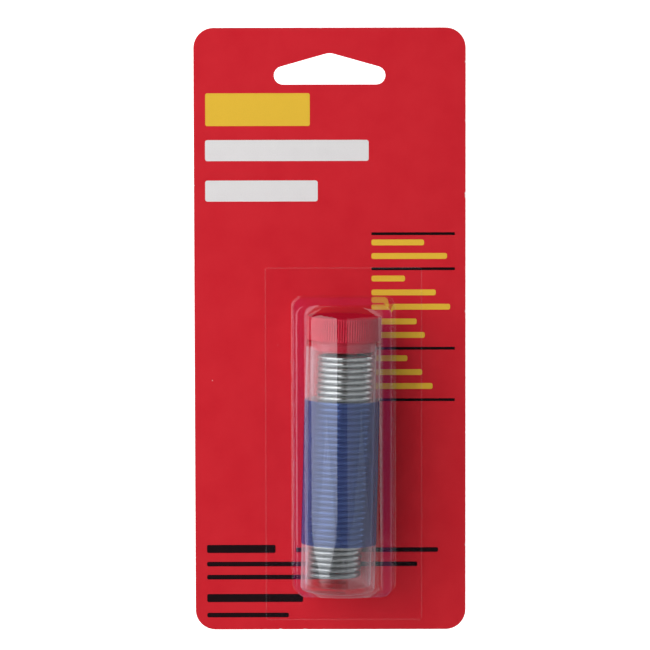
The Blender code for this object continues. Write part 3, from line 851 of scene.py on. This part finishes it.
add_piece("clear_tube", turned("clear_tube", tube_profile(), 160, tube_frame),
          [clear_tube_finish()],
          "tube", "clear_tube", "dispenser_tube")

# %% [markdown]
# ## The label band
# The label is a wrap of translucent blue film. It carries nothing here but its colour. It is one
# open sheet round the tube, because a film this thin has no visible edge, with a narrow overlap on
# the tube's left. Its shader lets tinted light through and adds a little blue of its own, so the
# turns of wire still show behind it.

# %% Wrap the label
LABEL_ABOVE_FOOT = 12.4 * MM
LABEL_LENGTH = 37.1 * MM
LABEL_RADIUS = TUBE_RADIUS + 0.1 * MM
LABEL_OVERLAP = math.radians(12)
LABEL_LIFT_AT_OVERLAP = 0.04 * MM
LABEL_BLUE = (0.088, 0.125, 0.44)
LABEL_TINT_SEEN = (0.22, 0.34, 0.67)
LABEL_TINT_FOR_LIGHT = (0.85, 0.88, 0.97)


def label_mesh(columns=180, rows=24):
    """A sheet that starts and ends on the left, where its last few degrees lie on its first."""
    form = bmesh.new()
    grid = []
    sweep = math.tau + LABEL_OVERLAP
    for column in range(columns + 1):
        share = column / columns
        angle = math.pi / 2 - LABEL_OVERLAP / 2 + sweep * share
        radius = LABEL_RADIUS + LABEL_LIFT_AT_OVERLAP * share
        x = radius * math.cos(angle)
        y = radius * math.sin(angle)
        heights = [LABEL_ABOVE_FOOT + LABEL_LENGTH * row / rows for row in range(rows + 1)]
        grid.append([form.verts.new(tube_frame @ Vector((x, y, height))) for height in heights])
    for first, second in zip(grid, grid[1:]):
        for row in range(rows):
            form.faces.new((first[row], second[row], second[row + 1], first[row + 1]))
    return mesh_from("label_film", form)


def label_finish():
    """Tinted film. It dims the view more than it dims the light, or the wire would go dark."""
    material, tree, shader = new_finish("blue_film", LABEL_BLUE, 0.22)
    place = place_of(tree)
    cloudy = ramp(tree, noise(tree, place, 5 * MM, detail=3), 0.3, 0.7, 0.20, 0.27)
    looked_at = add_node(tree, "ShaderNodeLightPath").outputs["Is Camera Ray"]
    colour = mix_colour(tree, looked_at, LABEL_TINT_FOR_LIGHT, LABEL_TINT_SEEN)
    tint = add_node(tree, "ShaderNodeBsdfTransparent", {"Color": colour})
    tree.links.new(bump(tree, noise(tree, place, 4 * MM), 0.2, 0.05 * MM), shader.inputs["Normal"])
    finish_surface(tree, mix_shaders(tree, cloudy, tint.outputs[0], shader.outputs[0]))
    return material


add_piece("label_film", label_mesh(), [label_finish()], "tube", "blue_film", "label_band")

# %% [markdown]
# ## The cap
# The cap is moulded in red plastic: a head with about ninety fine upright ribs for grip, and a
# plain plug that enters the tube. The ribs could be cut one by one, but a ring of points whose
# radius rises and falls ninety times does it at once. Each ring of the form has its own share of
# the rib, so the ribs fade out at the rim.

# %% Make the cap
CAP_RIBS = 90
RIB_DEPTH = 0.22 * MM
CAP_HEAD = 6.1 * MM
CAP_SEAT = TUBE_LENGTH + 0.3 * MM
PLUG_RADIUS = TUBE_BORE - 0.3 * MM
PLUG_LENGTH = 2.8 * MM
CAP_WALL = 1.1 * MM
CAP_ROOF = 1.3 * MM
CAP_RIM = 0.45 * MM
CAP_RED = (0.60, 0.005, 0.034)
CAP_RED_DULL = (0.55, 0.004, 0.030)
CAP_SPECULAR = 0.25


def cap_profile():
    """(radius, height, share of the rib) from the top's middle down to the roof of the hollow."""
    rim = CAP_RIM
    hollow = PLUG_RADIUS - CAP_WALL
    rows = [(0.5 * MM, CAP_HEAD, 0), (TUBE_RADIUS - 2 * rim, CAP_HEAD, 0)]
    for radius, height in arc_points((TUBE_RADIUS - rim, CAP_HEAD - rim), rim, 90, 0, 6):
        rows.append((radius, height, 0.5 if radius > TUBE_RADIUS - rim * 0.6 else 0.0))
    rows += [(TUBE_RADIUS, CAP_HEAD - 2 * rim, 1), (TUBE_RADIUS, CAP_HEAD / 2, 1),
             (TUBE_RADIUS, 0.5 * MM, 1),
             (TUBE_RADIUS, 0.25 * MM, 0.4), (TUBE_RADIUS - 0.1 * MM, 0, 0), (PLUG_RADIUS, 0, 0),
             (PLUG_RADIUS, -PLUG_LENGTH + 0.4 * MM, 0), (PLUG_RADIUS - 0.35 * MM, -PLUG_LENGTH, 0),
             (hollow, -PLUG_LENGTH, 0), (hollow, CAP_HEAD - CAP_ROOF - 0.4 * MM, 0),
             (hollow - 0.4 * MM, CAP_HEAD - CAP_ROOF, 0), (0.5 * MM, CAP_HEAD - CAP_ROOF, 0)]
    return rows


def cap_mesh(points_per_rib=8):
    """The profile turned round the tube's axis, with its radius pulled in between the ribs."""
    steps = CAP_RIBS * points_per_rib
    form = bmesh.new()
    rings = []
    for radius, height, share in cap_profile():
        ring = []
        for step in range(steps):
            angle = math.tau * step / steps
            groove = (0.5 - 0.5 * math.cos(CAP_RIBS * angle)) ** 1.6
            reach = radius - share * RIB_DEPTH * groove
            point = (reach * math.cos(angle), reach * math.sin(angle), CAP_SEAT + height)
            ring.append(form.verts.new(point))
        rings.append(ring)
    for upper, lower in zip(rings, rings[1:]):
        for step in range(steps):
            after = (step + 1) % steps
            form.faces.new((upper[step], lower[step], lower[after], upper[after]))
    form.faces.new(rings[0])
    form.faces.new(reversed(rings[-1]))
    bmesh.ops.recalc_face_normals(form, faces=form.faces)
    form.transform(tube_frame)
    return mesh_from("ribbed_cap", form, 50)


def cap_finish():
    """Glossy moulded plastic, a little uneven in colour and shine, and matt on top."""
    material, tree, shader = new_finish("red_cap_plastic", CAP_RED, 0.25,
                                        Specular_IOR_Level=CAP_SPECULAR)
    place = place_of(tree)
    cloud = ramp(tree, noise(tree, place, 3 * MM), 0.3, 0.7)
    tree.links.new(mix_colour(tree, cloud, CAP_RED, CAP_RED_DULL), shader.inputs["Base Color"])
    shine = ramp(tree, noise(tree, place, 0.8 * MM, detail=4), 0.35, 0.75, 0.26, 0.42)
    top = ramp(tree, part_of(tree, normal_of(tree), "Z"), 0.8, 0.95)
    tree.links.new(maths(tree, "MAXIMUM", shine, top), shader.inputs["Roughness"])
    specular = maths(tree, "MULTIPLY_ADD", top, -CAP_SPECULAR, CAP_SPECULAR)
    tree.links.new(specular, shader.inputs["Specular IOR Level"])
    tree.links.new(bump(tree, noise(tree, place, 0.25 * MM), 0.2, 0.01 * MM),
                   shader.inputs["Normal"])
    return material


add_piece("ribbed_cap", cap_mesh(), [cap_finish()], "cap", "red_cap", "cap")

# %% [markdown]
# ## The coil of solder
# One length of wire, wound so closely that each turn lies on the one below. A curve with a round
# bevel would do, but a tube of rings lets both cut ends show the rosin core inside the wire. The
# lowest turns are wound tighter than the rest and stay in line on their left, and the cut tail
# springs out again. The coil leans a little more than the tube, so it hugs the tube's left wall at
# the foot, as the real one does. Its solid is wound the same way, but leans less and narrows more.

# %% Wind the coil
COIL_PITCH = 1.470 * MM
WIRE_RADIUS = 0.492 * COIL_PITCH
COIL_PLAY = 1.0 * MM
COIL_FLOOR_GAP = 1.5 * MM
COIL_DIAMETER = 2 * (TUBE_BORE - COIL_PLAY)
COIL_NARROWING = 1.1 * MM
COIL_NARROW_TURNS = 5.0
COIL_TAIL_NARROWING = 0.4 * MM
COIL_TAIL_TURNS = 0.5
COIL_FOOT_SHIFT = 0.55 * MM
COIL_LEAN = math.radians(1.37)
COIL_TURNS_LEFT_FREE = 0.93
COIL_BOTTOM = TUBE_FLOOR + COIL_FLOOR_GAP
COIL_TURNS = (TUBE_LENGTH - PLUG_LENGTH - COIL_BOTTOM) / COIL_PITCH - COIL_TURNS_LEFT_FREE
# The tube frame's Y points to the left, and a turn about its X leans the coil's top to the right.
coil_start = Matrix.Translation((0, COIL_FOOT_SHIFT, COIL_BOTTOM + COIL_PITCH / 2))
coil_frame = tube_frame @ coil_start @ Matrix.Rotation(COIL_LEAN, 4, "X")
print(f"{COIL_TURNS:.1f} turns of {2 * WIRE_RADIUS / MM:.2f} mm wire")


def ease(value):
    """A soft step from 0 to 1 as value goes from 0 to 1."""
    value = min(1.0, max(0.0, value))
    return value * value * (3 - 2 * value)


def coil_point(turn):
    """A place along the wire's middle, counted in turns from the tail."""
    narrowing = (1 - ease(turn - COIL_NARROW_TURNS)) * COIL_NARROWING
    narrowing -= (1 - ease(turn / COIL_TAIL_TURNS)) * (COIL_NARROWING - COIL_TAIL_NARROWING)
    outer = (COIL_DIAMETER - narrowing) / 2
    radius = outer - WIRE_RADIUS
    angle = math.tau * turn
    loose = 0.035 * MM * math.sin(2.3 * turn) + 0.02 * MM * math.sin(7.1 * turn)
    to_the_left = COIL_DIAMETER / 2 - outer
    y = to_the_left + (radius + loose) * math.sin(angle)
    return Vector(((radius + loose) * math.cos(angle), y, COIL_PITCH * turn))


def wire_mesh(sides=16, per_turn=72):
    """The wire with round cut ends, and a core disc set in each end."""
    form = bmesh.new()
    count = round(COIL_TURNS * per_turn)
    route = [coil_point(index / per_turn) for index in range(count + 1)]
    rings = []
    for index, place in enumerate(route):
        ahead = (route[min(index + 1, count)] - route[max(index - 1, 0)]).normalized()
        side = ahead.cross(Vector((0, 0, 1))).normalized()
        over = side.cross(ahead)
        ring = []
        for step in range(sides):
            angle = math.tau * step / sides
            reach = side * math.cos(angle) + over * math.sin(angle)
            ring.append(form.verts.new(place + WIRE_RADIUS * reach))
        rings.append(ring)
    for first, second in zip(rings, rings[1:]):
        for step in range(sides):
            after = (step + 1) % sides
            form.faces.new((first[step], first[after], second[after], second[step]))
    for ring, way in ((rings[0], -1), (rings[-1], 1)):
        face = form.faces.new(ring if way < 0 else list(reversed(ring)))
        bmesh.ops.inset_region(form, faces=[face], thickness=0.55 * WIRE_RADIUS)
        face.material_index = 1
    bmesh.ops.recalc_face_normals(form, faces=form.faces)
    form.transform(coil_frame)
    return mesh_from("solder_wire", form, 50)


# %% Finish the wire
SOLDER_BRIGHT = (0.45, 0.47, 0.45)
SOLDER_DULL = (0.36, 0.38, 0.37)
SOLDER_PAINTED_SHADE = (0.16, 0.17, 0.18)
ROSIN_PALE = (0.48, 0.22, 0.04)
ROSIN_DARK = (0.25, 0.10, 0.02)


def solder_finish():
    """Soft grey metal, dulled in patches, marked lightly along its turns, with painted shade at the
    foot.
    """
    material, tree, shader = new_finish("drawn_solder", (0.50, 0.51, 0.49), 0.20, Metallic=0.78)
    place = place_of(tree)
    dull = ramp(tree, noise(tree, place, 2.2 * MM, detail=4), 0.35, 0.7)
    colour = mix_colour(tree, dull, SOLDER_BRIGHT, SOLDER_DULL)
    height = part_of(tree, place, "Z")
    # Painted shade: the wire is darkened towards the foot, where shade falls in the pocket.
    low = ramp(tree, height, tube_foot.z + 3 * MM, tube_foot.z + 16 * MM, 0.75, 0.0)
    tree.links.new(mix_colour(tree, low, colour, SOLDER_PAINTED_SHADE), shader.inputs["Base Color"])
    along = add_node(tree, "ShaderNodeMapping", {"Vector": place, "Scale": (0.25, 0.25, 2.5)})
    drawn = noise(tree, along.outputs[0], 0.6 * MM, detail=4)
    tree.links.new(ramp(tree, drawn, 0.35, 0.7, 0.14, 0.28), shader.inputs["Roughness"])
    tree.links.new(bump(tree, drawn, 0.25, 0.03 * MM), shader.inputs["Normal"])
    return material


def rosin_finish():
    """Brittle amber rosin, broken off at the cut."""
    material, tree, shader = new_finish("amber_rosin", (0.42, 0.19, 0.03), 0.4)
    grain = noise(tree, place_of(tree), 0.15 * MM)
    tree.links.new(mix_colour(tree, grain, ROSIN_PALE, ROSIN_DARK), shader.inputs["Base Color"])
    tree.links.new(bump(tree, grain, 0.5, 0.03 * MM), shader.inputs["Normal"])
    return material


add_piece("solder_wire", wire_mesh(), [solder_finish(), rosin_finish()],
          "coil", "solder", "solder_coil")
